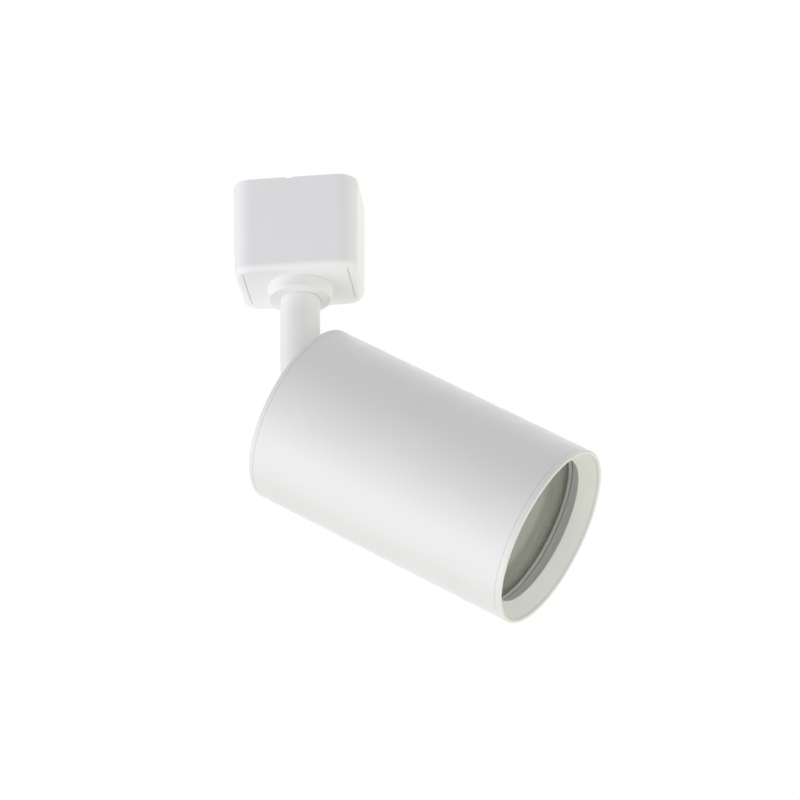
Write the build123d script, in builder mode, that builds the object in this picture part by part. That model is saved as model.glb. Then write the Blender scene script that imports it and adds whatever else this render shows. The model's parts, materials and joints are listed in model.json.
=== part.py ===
from build123d import *
import os
from math import cos, radians, sin

# Track spotlight: a box adapter that twist-locks into a lighting track, a stem that swivels
# under it, and a plain cylindrical LED head that tilts on the stem's lower end.
# Frame: origin at the centre of the adapter's seating face, +Z up into the track,
# +X along the track, -Y the front. All lengths are in millimetres.

os.makedirs("parts", exist_ok=True)

# ---------------------------------------------------------------- driving dimensions
ADAPTER_LENGTH = 44.2
ADAPTER_WIDTH = 34.0
ADAPTER_HEIGHT = 35.4
ADAPTER_CORNER = 7.15
ADAPTER_DRAFT = 0.8
ADAPTER_EDGE_ROUND = 2.4
ADAPTER_WALL = 2.0
ADAPTER_FLOOR = 2.4

HEAD_DIAMETER = 63.5
HEAD_LENGTH = 101.6
HEAD_PAN = -6.5
HEAD_TILT = 32.9

STEM_DIAMETER = 14.0
PIVOT_DEPTH = 83.5
PIVOT_BEHIND_REAR = 0.6

RUNNING_FIT = 0.05
LEAD_RADIUS = 0.6

# ---------------------------------------------------------------- head directions and planes
HEAD_RADIUS = HEAD_DIAMETER / 2
STEM_RADIUS = STEM_DIAMETER / 2
pan = radians(HEAD_PAN)
tilt = radians(HEAD_TILT)
forward = Vector(cos(pan), sin(pan), 0)
side = Vector(-sin(pan), cos(pan), 0)
aim = Vector(cos(pan) * cos(tilt), sin(pan) * cos(tilt), -sin(tilt))
head_up = aim.cross(side)
pivot = Vector(0, 0, -PIVOT_DEPTH)
rear_centre = pivot + aim * PIVOT_BEHIND_REAR
HEAD_AXIS = Axis(rear_centre, aim)
HEAD_PROFILE = Plane(origin=rear_centre, x_dir=aim, z_dir=side * -1)
STEM_SIDE = Plane(origin=pivot, x_dir=forward, z_dir=side * -1)


def head_plane(distance):
    """Plane across the head, this far in front of its rear face: x to the side, y up."""
    return Plane(origin=rear_centre + aim * distance, x_dir=side, z_dir=aim)


def pivot_plane(offset):
    """Plane square to the tilt pivot: x up the head, y towards its front."""
    return Plane(origin=pivot + side * offset, x_dir=head_up, z_dir=side)


def head_point(across, up, distance):
    """Point in the head, from its rear face's centre."""
    return rear_centre + side * across + head_up * up + aim * distance


def turned(*corners):
    """Profile for a piece turned about the head's axis, from (distance, radius) corners."""
    with BuildSketch(HEAD_PROFILE) as profile:
        with BuildLine():
            Polyline(*corners, close=True)
        make_face()
    return profile.sketch


def upright(*corners):
    """Profile for a piece turned about the stem's axis, from (radius, height) corners."""
    with BuildSketch(Plane.XZ) as profile:
        with BuildLine():
            Polyline(*corners, close=True)
        make_face()
    return profile.sketch


# ---------------------------------------------------------------- adapter box
TOP_PLATE = 2.0
TOP_RIM = 1.2
BOSS_X = 17.2
BOSS_Y = 12.1
BOSS_RADIUS = 2.8
BOSS_DEPTH = 3.6
SCREW_HOLE = 1.25
FLOOR_LEVEL = ADAPTER_HEIGHT - ADAPTER_FLOOR
PLATE_FRONT = -13.5
PLATE_REAR = 9.6
PLATE_SLOT_LENGTH = 37.0
PLATE_SIDE_GAP = 0.16
PLATE_END_GAP = 0.04
PLATE_DEPTH = PLATE_REAR - PLATE_FRONT
PLATE_CENTRE = (PLATE_REAR + PLATE_FRONT) / 2
LEVER_TOP = 6.6
LEVER_THICKNESS = 3.0
LEVER_SLOT_MARGIN = 0.7
LEVER_SLOT_HALF_ANGLE = 53
LEVER_REST = 45
LEVER_TIP_RADIUS = 27.4
LEVER_WIDTH = 4.0
NOTCH_PLACE = -1.5
NOTCH_WIDTH = 2.4
NOTCH_HEIGHT = 0.8
NOTCH_DEPTH = 0.9
boss_places = [(x, y) for x in (-BOSS_X, BOSS_X) for y in (-BOSS_Y, BOSS_Y)]

# Solid outer form of the box, shared by the shell and its bottom plate.
with BuildPart() as adapter_blank:
    with BuildSketch():
        RectangleRounded(ADAPTER_LENGTH, ADAPTER_WIDTH, ADAPTER_CORNER)
    extrude(amount=-ADAPTER_HEIGHT, taper=ADAPTER_DRAFT)
    fillet(adapter_blank.faces().sort_by(Axis.Z)[0].edges(), ADAPTER_EDGE_ROUND)

with BuildPart() as adapter_shell:
    add(adapter_blank.part)
    with BuildSketch():
        RectangleRounded(
            ADAPTER_LENGTH - 2 * ADAPTER_WALL,
            ADAPTER_WIDTH - 2 * ADAPTER_WALL,
            ADAPTER_CORNER - ADAPTER_WALL,
        )
    extrude(amount=-FLOOR_LEVEL, taper=ADAPTER_DRAFT, mode=Mode.SUBTRACT)
    with BuildSketch(Plane.XY.offset(-TOP_PLATE)):
        with Locations(*boss_places):
            Circle(BOSS_RADIUS)
    extrude(amount=-BOSS_DEPTH)
    with BuildSketch(Plane.XY.offset(-TOP_PLATE)):
        RectangleRounded(
            ADAPTER_LENGTH - 2 * TOP_RIM,
            ADAPTER_WIDTH - 2 * TOP_RIM,
            ADAPTER_CORNER - TOP_RIM,
        )
    extrude(amount=TOP_PLATE, mode=Mode.SUBTRACT)
    with BuildSketch(Plane.XY.offset(-TOP_PLATE)):
        with Locations(*boss_places):
            Circle(SCREW_HOLE)
    extrude(amount=-BOSS_DEPTH, mode=Mode.SUBTRACT)
    # opening that the bottom plate closes
    with BuildSketch(Plane.XY.offset(-FLOOR_LEVEL)):
        with Locations((0, PLATE_CENTRE)):
            Rectangle(PLATE_SLOT_LENGTH, PLATE_DEPTH)
    extrude(amount=-2 * ADAPTER_FLOOR, mode=Mode.SUBTRACT)
    # slot in the back wall that the lock lever sweeps through
    with BuildSketch(Plane.XY.offset(-LEVER_TOP + LEVER_SLOT_MARGIN)):
        with BuildLine():
            reach = ADAPTER_LENGTH
            start = Vector(reach, 0).rotate(Axis.Z, 90 - LEVER_SLOT_HALF_ANGLE)
            end = Vector(reach, 0).rotate(Axis.Z, 90 + LEVER_SLOT_HALF_ANGLE)
            Line((0, 0), start)
            ThreePointArc(start, (0, reach), end)
            Line(end, (0, 0))
        make_face()
    extrude(amount=-LEVER_THICKNESS - 2 * LEVER_SLOT_MARGIN, mode=Mode.SUBTRACT)
    # notch in the front of the top edge
    with BuildSketch():
        with Locations((NOTCH_PLACE, -ADAPTER_WIDTH / 2)):
            Rectangle(NOTCH_WIDTH, 2 * NOTCH_DEPTH)
    extrude(amount=-NOTCH_HEIGHT, mode=Mode.SUBTRACT)
adapter_shell.part.label = "adapter_shell"

TURRET_NECK = 5.0
CSK_RADIUS = 2.3
SCREW_RADIUS = 1.2

with BuildPart() as top_plate:
    with BuildSketch(Plane.XY.offset(-TOP_PLATE)):
        RectangleRounded(
            ADAPTER_LENGTH - 2 * TOP_RIM - 0.2,
            ADAPTER_WIDTH - 2 * TOP_RIM - 0.2,
            ADAPTER_CORNER - TOP_RIM - 0.1,
        )
        Circle(TURRET_NECK + RUNNING_FIT, mode=Mode.SUBTRACT)
    extrude(amount=TOP_PLATE)
    with Locations(*boss_places):
        CounterSinkHole(SCREW_HOLE + 0.1, CSK_RADIUS)
top_plate.part.label = "top_plate"

SCREW_LENGTH = 5.2
HEAD_CONE = 1.1
with BuildPart() as top_plate_screws:
    for place in boss_places:
        with BuildSketch(Plane.XY.offset(-0.1)):
            with Locations(place):
                Circle(CSK_RADIUS - 0.15)
        with BuildSketch(Plane.XY.offset(-0.1 - HEAD_CONE)):
            with Locations(place):
                Circle(SCREW_RADIUS)
        loft()
        with BuildSketch(Plane.XY.offset(-0.1 - HEAD_CONE)):
            with Locations(place):
                Circle(SCREW_RADIUS)
        extrude(amount=-(SCREW_LENGTH - HEAD_CONE))
        with BuildSketch(Plane.XY.offset(-0.1)):
            with Locations(place):
                Rectangle(2.6, 0.5)
                Rectangle(0.5, 2.6)
        extrude(amount=-0.7, mode=Mode.SUBTRACT)
top_plate_screws.part.label = "top_plate_screws"

COLLAR_SPIGOT = 8.0
PLATE_LIP = 0.9
LIP_THICKNESS = 1.2
LIP_FRONT = -9.0
LIP_REAR = PLATE_REAR + 0.7
with BuildPart() as bottom_plate:
    add(adapter_blank.part)
    with BuildSketch(Plane.XY.offset(-FLOOR_LEVEL)):
        with Locations((0, PLATE_CENTRE)):
            Rectangle(PLATE_SLOT_LENGTH - 2 * PLATE_SIDE_GAP, PLATE_DEPTH - 2 * PLATE_END_GAP)
    extrude(amount=-2 * ADAPTER_FLOOR, mode=Mode.INTERSECT)
    with BuildSketch(Plane.XY.offset(-FLOOR_LEVEL)):
        with Locations((0, (LIP_FRONT + LIP_REAR) / 2)):
            Rectangle(PLATE_SLOT_LENGTH + 2 * PLATE_LIP, LIP_REAR - LIP_FRONT)
    extrude(amount=LIP_THICKNESS)
    with BuildSketch(Plane.XY.offset(-FLOOR_LEVEL)):
        Circle(COLLAR_SPIGOT + RUNNING_FIT)
    extrude(amount=2 * ADAPTER_FLOOR, both=True, mode=Mode.SUBTRACT)
bottom_plate.part.label = "bottom_plate"

# ---------------------------------------------------------------- swivel joint under the box
COLLAR_HEIGHT = 4.7
COLLAR_BASE = 11.5
COLLAR_FACE = 11.3
COLLAR_MOUTH = STEM_RADIUS + 0.08
COLLAR_MOUTH_DEPTH = 2.2
COLLAR_BORE = 5.0
COLLAR_TOP = 29.0
COLLAR_BOTTOM = ADAPTER_HEIGHT + COLLAR_HEIGHT
MOUTH_CEILING = COLLAR_BOTTOM - COLLAR_MOUTH_DEPTH
STEM_NECK = COLLAR_BORE - RUNNING_FIT
STEM_SHOULDER = MOUTH_CEILING + 0.2
COLLAR_EDGE_ROUND = 0.9

with BuildPart() as swivel_collar:
    revolve(
        upright(
            (COLLAR_BORE, -COLLAR_TOP),
            (COLLAR_SPIGOT, -COLLAR_TOP),
            (COLLAR_SPIGOT, -ADAPTER_HEIGHT),
            (COLLAR_BASE, -ADAPTER_HEIGHT),
            (COLLAR_FACE, -COLLAR_BOTTOM),
            (COLLAR_MOUTH, -COLLAR_BOTTOM),
            (COLLAR_MOUTH, -MOUTH_CEILING),
            (COLLAR_BORE, -MOUTH_CEILING),
        ),
        axis=Axis.Z,
    )
    fillet(swivel_collar.faces().sort_by(Axis.Z)[0].outer_wire().edges(), COLLAR_EDGE_ROUND)
swivel_collar.part.label = "swivel_collar"

NUT_THICKNESS = 3.0
COLLAR_NUT_FLATS = 19.0
PLATE_INSIDE = FLOOR_LEVEL - LIP_THICKNESS
with BuildPart() as collar_nut:
    with BuildSketch(Plane.XY.offset(-PLATE_INSIDE)):
        RegularPolygon(COLLAR_NUT_FLATS / 2, 6, major_radius=False)
        Circle(COLLAR_SPIGOT + RUNNING_FIT, mode=Mode.SUBTRACT)
    extrude(amount=PLATE_INSIDE - COLLAR_TOP - 0.1)
collar_nut.part.label = "collar_nut"

WASHER_THICKNESS = 1.0
SPRING_THICKNESS = 1.0
STOP_THICKNESS = 1.0
washer_level = COLLAR_TOP
spring_level = washer_level - WASHER_THICKNESS
stop_level = spring_level - SPRING_THICKNESS
nut_level = stop_level - STOP_THICKNESS
STEM_TOP = nut_level - 3.6
WASHER_RADIUS = 7.8

with BuildPart() as swivel_friction_washer:
    with BuildSketch(Plane.XY.offset(-washer_level)):
        Circle(WASHER_RADIUS)
        Circle(STEM_NECK + 0.35, mode=Mode.SUBTRACT)
    extrude(amount=WASHER_THICKNESS - 0.05)
swivel_friction_washer.part.label = "swivel_friction_washer"

# Conical spring washer that keeps the swivel stiff.
with BuildPart() as swivel_spring_washer:
    revolve(
        upright(
            (STEM_NECK, -stop_level),
            (STEM_NECK, -stop_level - 0.5),
            (WASHER_RADIUS - 0.4, -spring_level),
            (WASHER_RADIUS - 0.4, -spring_level + 0.5),
        ),
        axis=Axis.Z,
    )
swivel_spring_washer.part.label = "swivel_spring_washer"

STOP_PIN_PLACE = 12.6
STOP_PIN_RADIUS = 1.0
STOP_TAB_WIDTH = 1.8
with BuildPart() as swivel_stop_tab:
    with BuildSketch(Plane.XY.offset(-stop_level).rotated((0, 0, HEAD_PAN))):
        Circle(WASHER_RADIUS)
        with Locations((STOP_PIN_PLACE / 2 + 0.4, 0)):
            Rectangle(STOP_PIN_PLACE + 0.8, STOP_TAB_WIDTH)
        Circle(STEM_NECK, mode=Mode.SUBTRACT)
    extrude(amount=STOP_THICKNESS)
swivel_stop_tab.part.label = "swivel_stop_tab"

stop_pin_centre = forward * -STOP_PIN_PLACE
with BuildPart() as swivel_stop_pin:
    with BuildSketch(Plane.XY.offset(-PLATE_INSIDE)):
        with Locations((stop_pin_centre.X, stop_pin_centre.Y)):
            Circle(STOP_PIN_RADIUS)
    extrude(amount=PLATE_INSIDE - nut_level + 0.6)
    fillet(swivel_stop_pin.faces().sort_by(Axis.Z)[-1].edges(), 0.4)
swivel_stop_pin.part.label = "swivel_stop_pin"

LOCKNUT_FLATS = 14.0
with BuildPart() as stem_locknut:
    with BuildSketch(Plane.XY.offset(-nut_level)):
        RegularPolygon(LOCKNUT_FLATS / 2, 6, major_radius=False)
        Circle(STEM_NECK, mode=Mode.SUBTRACT)
    extrude(amount=3.0)
    chamfer(stem_locknut.faces().sort_by(Axis.Z)[-1].outer_wire().edges(), 0.4)
stem_locknut.part.label = "stem_locknut"

# ---------------------------------------------------------------- stem
STEM_BORE = 5.0
WIRE_BORE = 3.8
KNUCKLE_LENGTH = 9.5
SPIGOT_LENGTH = 9.0
TUBE_END = PIVOT_DEPTH - KNUCKLE_LENGTH
BORE_STEP = 43.0

with BuildPart() as stem_tube:
    revolve(
        upright(
            (WIRE_BORE, -STEM_TOP),
            (STEM_NECK, -STEM_TOP),
            (STEM_NECK, -STEM_SHOULDER),
            (STEM_RADIUS - 0.3, -STEM_SHOULDER),
            (STEM_RADIUS, -STEM_SHOULDER - 0.3),
            (STEM_RADIUS, -TUBE_END),
            (STEM_BORE, -TUBE_END),
            (STEM_BORE, -BORE_STEP),
            (WIRE_BORE, -BORE_STEP),
        ),
        axis=Axis.Z,
    )
stem_tube.part.label = "stem_tube"

KNUCKLE_FLAT = 6.0
FLAT_TOP = 7.8
PIVOT_SCREW = 2.0
with BuildPart() as stem_knuckle:
    with BuildSketch(STEM_SIDE):
        Circle(STEM_RADIUS)
        with Locations((0, KNUCKLE_LENGTH / 2)):
            Rectangle(STEM_DIAMETER, KNUCKLE_LENGTH)
    extrude(amount=STEM_RADIUS, both=True)
    with BuildSketch(Plane.XY.offset(-TUBE_END)):
        Circle(STEM_RADIUS)
    extrude(amount=-2 * KNUCKLE_LENGTH, mode=Mode.INTERSECT)
    for offset, outward in ((KNUCKLE_FLAT, 1), (-KNUCKLE_FLAT, -1)):
        with BuildSketch(STEM_SIDE.offset(offset)):
            with Locations((0, (FLAT_TOP - STEM_RADIUS) / 2)):
                Rectangle(STEM_DIAMETER + 2, FLAT_TOP + STEM_RADIUS + 0.01)
        extrude(amount=outward * STEM_RADIUS, mode=Mode.SUBTRACT)
    with BuildSketch(Plane.XY.offset(-TUBE_END)):
        Circle(STEM_BORE)
    extrude(amount=SPIGOT_LENGTH)
    with BuildSketch(Plane.XY.offset(-TUBE_END + SPIGOT_LENGTH)):
        Circle(WIRE_BORE)
    extrude(amount=-(SPIGOT_LENGTH + KNUCKLE_LENGTH + STEM_RADIUS), mode=Mode.SUBTRACT)
    with BuildSketch(STEM_SIDE):
        Circle(PIVOT_SCREW + RUNNING_FIT)
    extrude(amount=STEM_DIAMETER, both=True, mode=Mode.SUBTRACT)
stem_knuckle.part.label = "stem_knuckle"

BUSH_BORE = 2.2
with BuildPart() as stem_wire_bush:
    revolve(
        upright(
            (BUSH_BORE, -STEM_TOP + 1.2),
            (STEM_NECK, -STEM_TOP + 1.2),
            (STEM_NECK, -STEM_TOP),
            (WIRE_BORE, -STEM_TOP),
            (WIRE_BORE, -STEM_TOP - 3.0),
            (BUSH_BORE, -STEM_TOP - 3.0),
        ),
        axis=Axis.Z,
    )
stem_wire_bush.part.label = "stem_wire_bush"

# ---------------------------------------------------------------- twist-lock contact head
T_BAR_LENGTH = 26.0
T_BAR_WIDTH = 7.0
T_BAR_THICKNESS = 3.0
T_NECK_HEIGHT = 3.0
TURRET_FLANGE = 8.5
FLANGE_THICKNESS = 2.4
DRUM_RADIUS = 5.5
DRUM_BOTTOM = 11.6
FLANGE_TOP = TOP_PLATE + 0.1
CONTACT_X = 10.0
CONTACT_LENGTH = 5.0
CONTACT_WIDTH = 2.4

with BuildPart() as contact_turret:
    with BuildSketch(Plane.XY.offset(-DRUM_BOTTOM)):
        Circle(DRUM_RADIUS)
    extrude(amount=DRUM_BOTTOM - FLANGE_TOP)
    with BuildSketch(Plane.XY.offset(-FLANGE_TOP)):
        Circle(TURRET_FLANGE)
    extrude(amount=-FLANGE_THICKNESS)
    with BuildSketch(Plane.XY.offset(-FLANGE_TOP)):
        Circle(TURRET_NECK)
    extrude(amount=FLANGE_TOP)
    with BuildSketch():
        Circle(T_BAR_WIDTH / 2)
    extrude(amount=T_NECK_HEIGHT)
    with BuildSketch(Plane.XY.offset(T_NECK_HEIGHT)):
        SlotOverall(T_BAR_LENGTH, T_BAR_WIDTH)
    extrude(amount=T_BAR_THICKNESS)
    # pockets that hold the two contact blades
    with BuildSketch(Plane.XY.offset(T_NECK_HEIGHT + T_BAR_THICKNESS)):
        with Locations((-CONTACT_X, 0), (CONTACT_X, 0)):
            Rectangle(CONTACT_LENGTH, CONTACT_WIDTH)
    extrude(amount=-2.0, mode=Mode.SUBTRACT)
contact_turret.part.label = "contact_turret"


def contact_blade(end):
    """Copper blade in one end of the T-bar, with a rounded crown that presses on the rail."""
    with BuildSketch(Plane.XZ.offset(-CONTACT_WIDTH / 2 + 0.1)) as outline:
        with BuildLine():
            low = T_NECK_HEIGHT + 1.0
            high = T_NECK_HEIGHT + T_BAR_THICKNESS - 0.5
            left = end * CONTACT_X - CONTACT_LENGTH / 2 + 0.1
            right = end * CONTACT_X + CONTACT_LENGTH / 2 - 0.1
            Polyline((left, high), (left, low), (right, low), (right, high))
            ThreePointArc((right, high), (end * CONTACT_X, high + 0.45), (left, high))
        make_face()
    return outline.sketch


with BuildPart() as line_contact:
    extrude(contact_blade(1), amount=CONTACT_WIDTH - 0.2)
line_contact.part.label = "line_contact"

with BuildPart() as neutral_contact:
    extrude(contact_blade(-1), amount=CONTACT_WIDTH - 0.2)
neutral_contact.part.label = "neutral_contact"

LEVER_HUB = 8.0
with BuildPart() as lock_lever:
    with BuildSketch(Plane.XY.offset(-LEVER_TOP).rotated((0, 0, LEVER_REST))):
        Circle(LEVER_HUB)
        with Locations((LEVER_TIP_RADIUS / 2 - LEVER_WIDTH / 4, 0)):
            Rectangle(LEVER_TIP_RADIUS - LEVER_WIDTH / 2, LEVER_WIDTH)
        with Locations((LEVER_TIP_RADIUS - LEVER_WIDTH / 2, 0)):
            Circle(LEVER_WIDTH / 2)
        Circle(DRUM_RADIUS, mode=Mode.SUBTRACT)
    extrude(amount=-LEVER_THICKNESS)
lock_lever.part.label = "lock_lever"

CLIP_THICKNESS = 0.8
with BuildPart() as turret_retaining_clip:
    with BuildSketch(Plane.XY.offset(-LEVER_TOP - LEVER_THICKNESS)):
        Circle(DRUM_RADIUS + 1.6)
        Circle(DRUM_RADIUS, mode=Mode.SUBTRACT)
        with Locations((DRUM_RADIUS + 1, 0)):
            Rectangle(2 * DRUM_RADIUS, 4.0, mode=Mode.SUBTRACT)
    extrude(amount=-CLIP_THICKNESS)
turret_retaining_clip.part.label = "turret_retaining_clip"

# Earth spring: a leaf on the top plate that touches the track's metal body.
LEAF_CENTRE = (-14.0, 3.0)
LEAF_LENGTH = 9.0
LEAF_WIDTH = 3.0
LEAF_THICKNESS = 0.4
LEAF_RISE = 2.0
with BuildPart() as earth_contact:
    with BuildSketch(Plane.YZ.offset(LEAF_CENTRE[0] - LEAF_WIDTH / 2)):
        with BuildLine():
            first = LEAF_CENTRE[1] - LEAF_LENGTH / 2
            last = LEAF_CENTRE[1] + LEAF_LENGTH / 2
            ThreePointArc((first, 0), (LEAF_CENTRE[1], LEAF_RISE), (last, 0))
            Line((last, 0), (last, LEAF_THICKNESS))
            ThreePointArc(
                (last, LEAF_THICKNESS),
                (LEAF_CENTRE[1], LEAF_RISE + LEAF_THICKNESS),
                (first, LEAF_THICKNESS),
            )
            Line((first, LEAF_THICKNESS), (first, 0))
        make_face()
    extrude(amount=LEAF_WIDTH)
    with BuildSketch():
        with Locations((LEAF_CENTRE[0], last + 1.4)):
            Rectangle(LEAF_WIDTH, 3.0)
    extrude(amount=LEAF_THICKNESS)
earth_contact.part.label = "earth_contact"

# ---------------------------------------------------------------- wiring block in the adapter
BLOCK_LENGTH = 22.0
BLOCK_WIDTH = 14.0
BLOCK_TOP = 13.4
BLOCK_HEIGHT = 4.4
BLOCK_BOTTOM = BLOCK_TOP + BLOCK_HEIGHT
LEAD_EXIT_X = 8.0
LEAD_END_X = 0.6
LEAD_PITCH = 1.0
LEAD_BEND = 1.6
LEAD_LEVEL = BLOCK_BOTTOM + 2.0
with BuildPart() as terminal_block:
    with BuildSketch(Plane.XY.offset(-BLOCK_BOTTOM)):
        Rectangle(BLOCK_LENGTH, BLOCK_WIDTH)
    extrude(amount=BLOCK_HEIGHT)
    fillet(terminal_block.edges().filter_by(Axis.Z), 1.0)
    with BuildSketch(Plane.XY.offset(-BLOCK_TOP)):
        with Locations((-7, 0), (7, 0)):
            Rectangle(3.4, 6.4)
    extrude(amount=-1.6, mode=Mode.SUBTRACT)
terminal_block.part.label = "terminal_block"

# Two leaf brushes that carry the turret's current to the block.
with BuildPart() as brush_contacts:
    for x in (-7, 7):
        with BuildSketch(Plane.XY.offset(-BLOCK_TOP - 1.6)):
            with Locations((x, 0)):
                Rectangle(3.0, 6.0)
        extrude(amount=1.3)
brush_contacts.part.label = "brush_contacts"

STEM_LEAD_TOP = STEM_TOP - 1.2 + 1.0
with BuildPart() as adapter_leads:
    for y in (-LEAD_PITCH, LEAD_PITCH):
        with BuildLine() as route:
            FilletPolyline(
                (LEAD_EXIT_X, y, -BLOCK_BOTTOM),
                (LEAD_EXIT_X, y, -LEAD_LEVEL + 0.2),
                (LEAD_END_X, y, -LEAD_LEVEL),
                radius=LEAD_BEND,
            )
        with BuildSketch(Plane(route.line @ 0, z_dir=route.line % 0)):
            Circle(LEAD_RADIUS)
        sweep()
adapter_leads.part.label = "adapter_leads"

LEAD_FORWARD = 2.95
with BuildPart() as stem_leads:
    for across in (-LEAD_PITCH, LEAD_PITCH):
        upper = side * across
        lower = side * across + forward * LEAD_FORWARD
        with BuildLine() as route:
            FilletPolyline(
                (upper.X, upper.Y, -STEM_TOP),
                (upper.X, upper.Y, -STEM_TOP - 22),
                (lower.X, lower.Y, -STEM_TOP - 40),
                (lower.X, lower.Y, -PIVOT_DEPTH - 4.5),
                radius=20,
            )
        with BuildSketch(Plane(route.line @ 0, z_dir=route.line % 0)):
            Circle(LEAD_RADIUS)
        sweep()
stem_leads.part.label = "stem_leads"

# ---------------------------------------------------------------- head casing
REAR_SEAM = 1.75
SEAM_GAP = 0.08
BARREL_BORE = 29.6
SPIGOT_FIT = 0.1
FRONT_RIM = 2.2
BARREL_FRONT = HEAD_LENGTH - FRONT_RIM - SEAM_GAP
LENS_SEAT = 86.4
LENS_SEAT_RADIUS = 27.0
SLOT_WIDTH = 15.0
SLOT_FLOOR = 7.0

with BuildPart() as barrel:
    revolve(
        turned(
            (REAR_SEAM, HEAD_RADIUS),
            (BARREL_FRONT, HEAD_RADIUS),
            (BARREL_FRONT, BARREL_BORE),
            (LENS_SEAT, BARREL_BORE),
            (LENS_SEAT, LENS_SEAT_RADIUS),
            (LENS_SEAT - 2, LENS_SEAT_RADIUS),
            (LENS_SEAT - 5, BARREL_BORE),
            (REAR_SEAM, BARREL_BORE),
        ),
        axis=HEAD_AXIS,
    )
    # notch that lets the stem fold in when the head is level
    with BuildSketch(head_plane(0)):
        with Locations((0, HEAD_RADIUS)):
            Rectangle(SLOT_WIDTH, HEAD_RADIUS)
    extrude(amount=SLOT_FLOOR, mode=Mode.SUBTRACT)
barrel.part.label = "barrel"

CAP_WALL = 2.6
CAP_SPIGOT_END = 12.0
CAP_SPIGOT_WALL = 2.6
EDGE_BREAK = 0.4
TROUGH_WALL = 3.0
TROUGH_FLOOR = 2.0
TROUGH_REACH = 27.3
POCKET_WIDTH = 31.4
POCKET_LOW = -8.6
POCKET_HIGH = 8.2
POCKET_FLOOR = 9.0
POCKET_WALL = 2.2
CAP_SCREW_PLACE = 23.5
CAP_SCREW_RADIUS = 1.5
CAP_SCREW_ANGLES = (40, 140, 220, 320)
YOKE_SCREW_PLACE = 13.0
YOKE_SCREW_RADIUS = 1.25
LEAD_HOLE = 3.2
with BuildPart() as rear_cap:
    revolve(
        turned(
            (0, 0),
            (0, HEAD_RADIUS - EDGE_BREAK),
            (EDGE_BREAK, HEAD_RADIUS),
            (REAR_SEAM - SEAM_GAP, HEAD_RADIUS),
            (REAR_SEAM - SEAM_GAP, BARREL_BORE - SPIGOT_FIT),
            (CAP_SPIGOT_END, BARREL_BORE - SPIGOT_FIT),
            (CAP_SPIGOT_END, BARREL_BORE - SPIGOT_FIT - CAP_SPIGOT_WALL),
            (CAP_WALL, BARREL_BORE - SPIGOT_FIT - CAP_SPIGOT_WALL),
            (CAP_WALL, 0),
        ),
        axis=HEAD_AXIS,
    )
    # walls and floor of the stem's slot, inside the cap
    with BuildSketch(head_plane(CAP_WALL)):
        with Locations((0, TROUGH_REACH / 2)):
            Rectangle(SLOT_WIDTH + 2 * TROUGH_WALL, TROUGH_REACH)
    extrude(amount=SLOT_FLOOR + TROUGH_FLOOR - CAP_WALL)
    # walls and floor of the pocket that holds the tilt yoke
    with BuildSketch(head_plane(CAP_WALL)):
        with Locations((0, (POCKET_LOW + POCKET_HIGH) / 2)):
            Rectangle(POCKET_WIDTH + 2 * POCKET_WALL, POCKET_HIGH - POCKET_LOW + 2 * POCKET_WALL)
    extrude(amount=POCKET_FLOOR + POCKET_WALL - CAP_WALL)
    # the slot, open at the cap's top edge, and the pocket
    with BuildSketch(head_plane(0)):
        with Locations((0, HEAD_RADIUS / 2)):
            Rectangle(SLOT_WIDTH, HEAD_RADIUS + 2)
    extrude(amount=SLOT_FLOOR, mode=Mode.SUBTRACT)
    with BuildSketch(head_plane(0)):
        with Locations((0, (POCKET_LOW + POCKET_HIGH) / 2)):
            RectangleRounded(POCKET_WIDTH, POCKET_HIGH - POCKET_LOW, 2.0)
    extrude(amount=POCKET_FLOOR, mode=Mode.SUBTRACT)
    with BuildSketch(head_plane(POCKET_FLOOR)):
        Circle(LEAD_HOLE)
        with Locations((-YOKE_SCREW_PLACE, 0), (YOKE_SCREW_PLACE, 0)):
            Circle(YOKE_SCREW_RADIUS + 0.2)
    extrude(amount=POCKET_WALL, mode=Mode.SUBTRACT)
    with BuildSketch(head_plane(0)):
        for angle in CAP_SCREW_ANGLES:
            with Locations(Vector(CAP_SCREW_PLACE, 0).rotate(Axis.Z, angle)):
                Circle(CAP_SCREW_RADIUS + 0.2)
    extrude(amount=CAP_WALL, mode=Mode.SUBTRACT)
rear_cap.part.label = "rear_cap"

EAR_RADIUS = 5.5
EAR_THICKNESS = 3.0
YOKE_BASE = POCKET_FLOOR - SLOT_FLOOR
YOKE_LENGTH = POCKET_WIDTH - 0.8
YOKE_DEPTH = 14.0
ear_height = PIVOT_BEHIND_REAR + SLOT_FLOOR
with BuildPart() as tilt_yoke:
    with BuildSketch(head_plane(SLOT_FLOOR)):
        RectangleRounded(YOKE_LENGTH, YOKE_DEPTH, 2.0)
    extrude(amount=YOKE_BASE)
    for offset in (SLOT_WIDTH / 2, -SLOT_WIDTH / 2 - EAR_THICKNESS):
        with BuildSketch(pivot_plane(offset)):
            Circle(EAR_RADIUS)
            with Locations((0, ear_height / 2)):
                Rectangle(2 * EAR_RADIUS, ear_height)
        extrude(amount=EAR_THICKNESS)
    with BuildSketch(pivot_plane(0)):
        Circle(PIVOT_SCREW + RUNNING_FIT)
    extrude(amount=SLOT_WIDTH, both=True, mode=Mode.SUBTRACT)
    with BuildSketch(head_plane(SLOT_FLOOR)):
        Circle(LEAD_HOLE)
        with Locations((-YOKE_SCREW_PLACE, 0), (YOKE_SCREW_PLACE, 0)):
            Circle(YOKE_SCREW_RADIUS)
    extrude(amount=YOKE_BASE, mode=Mode.SUBTRACT)
tilt_yoke.part.label = "tilt_yoke"

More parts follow.
